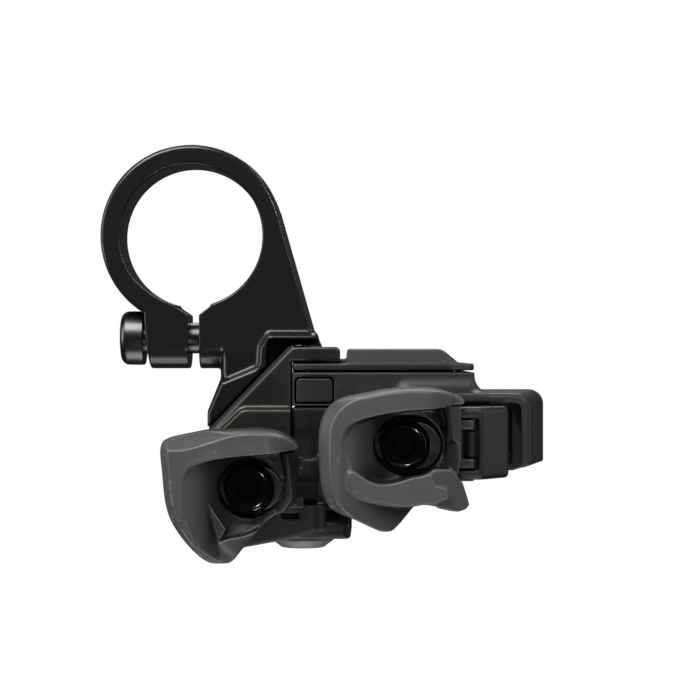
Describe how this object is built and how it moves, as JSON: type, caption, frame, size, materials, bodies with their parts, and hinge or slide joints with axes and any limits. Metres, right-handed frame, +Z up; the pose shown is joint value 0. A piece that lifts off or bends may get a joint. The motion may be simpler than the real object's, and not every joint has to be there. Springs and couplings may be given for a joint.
{
  "type": "handlebar shift switch",
  "caption": "Electronic shift switch for a flat handlebar: split clamp ring, sealed pod and two adjustable thumb paddles on sprung levers.",
  "frame": {"origin": "centre of the handlebar clamp's bore", "axes": "+Y along the handlebar from its end towards the stem, +X forwards, +Z up"},
  "size_m": [0.0718, 0.049, 0.0639],
  "materials": {
    "gloss_black_metal": "gloss black anodised",
    "warm_black_metal": "satin warm black",
    "black_steel": "black oxide",
    "bright_steel": "bright",
    "cap_metal": "satin grey",
    "lever_metal": "satin black",
    "bushing_bronze": "machined",
    "housing_plastic": "fine matte",
    "lid_plastic": "fine matte",
    "paddle_plastic": "fine grain matte",
    "button_plastic": "soft matte",
    "switch_plastic": "matte",
    "seal_rubber": "matte",
    "board": "satin"
  },
  "bodies": {
    "pod": {"clamp_bracket": "gloss_black_metal", "clamp_bolt": "black_steel", "mount_adapter": "warm_black_metal", "adapter_screw": "black_steel", "mounting_bolt": "black_steel", "lid": "lid_plastic", "lid_screw_1": "black_steel", "lid_screw_2": "black_steel", "lid_screw_3": "black_steel", "lid_seal": "seal_rubber", "housing_upper": "housing_plastic", "housing_lower": "housing_plastic", "housing_screw_1": "black_steel", "housing_screw_2": "black_steel", "housing_screw_3": "black_steel", "coin_cell": "bright_steel", "battery_contact": "bright_steel", "circuit_board": "board", "main_switch": "switch_plastic", "release_switch": "switch_plastic", "function_switch": "switch_plastic", "main_axle": "bright_steel", "main_spring": "bright_steel", "release_washer": "bright_steel", "release_axle": "bright_steel", "pivot_cap": "cap_metal", "release_spring": "bright_steel"},
    "main_lever": {"main_lever": "lever_metal", "main_bushing": "bushing_bronze"},
    "main_paddle": {"main_paddle": "paddle_plastic", "main_paddle_bolt": "black_steel", "main_paddle_nut": "bright_steel"},
    "release_lever": {"release_lever": "lever_metal", "release_bushing": "bushing_bronze"},
    "release_paddle": {"release_paddle": "paddle_plastic", "release_paddle_bolt": "black_steel", "release_paddle_nut": "bright_steel"},
    "main_plunger": {"main_plunger": "seal_rubber"},
    "release_plunger": {"release_plunger": "seal_rubber"},
    "function_button": {"function_button": "button_plastic"}
  },
  "joints": [
    {"name": "main_lever_hinge", "type": "hinge", "parent": "pod", "child": "main_lever", "pos_m": [0.0475, 0.002, -0.032], "axis": [0, 0, 1], "range_deg": [0, 4], "stiffness_Nm_per_rad": 0.4, "springref_deg": -6.88},
    {"name": "release_lever_hinge", "type": "hinge", "parent": "pod", "child": "release_lever", "pos_m": [0.0172, 0.005, -0.045], "axis": [0, 0, 1], "range_deg": [0, 3], "stiffness_Nm_per_rad": 0.4, "springref_deg": -6.88},
    {"name": "main_paddle_slide", "type": "slide", "parent": "main_lever", "child": "main_paddle", "axis": [1, 0, 0], "range_m": [-0.0008, 0]},
    {"name": "release_paddle_slide", "type": "slide", "parent": "release_lever", "child": "release_paddle", "axis": [1, 0, 0], "range_m": [-0.0015, 0]},
    {"name": "main_plunger_slide", "type": "slide", "parent": "pod", "child": "main_plunger", "axis": [-1, 0, 0], "range_m": [0, 0.00045]},
    {"name": "release_plunger_slide", "type": "slide", "parent": "pod", "child": "release_plunger", "axis": [1, 0, 0], "range_m": [0, 0.0005]},
    {"name": "function_button_slide", "type": "slide", "parent": "pod", "child": "function_button", "axis": [0, 1, 0], "range_m": [0, 0.0004], "stiffness_N_per_m": 300, "springref_m": -0.002}
  ],
  "couplings": [
    {"joint": "main_plunger_slide", "follows": "main_lever_hinge", "m_per_rad": 0.006},
    {"joint": "release_plunger_slide", "follows": "release_lever_hinge", "m_per_rad": 0.009}
  ]
}
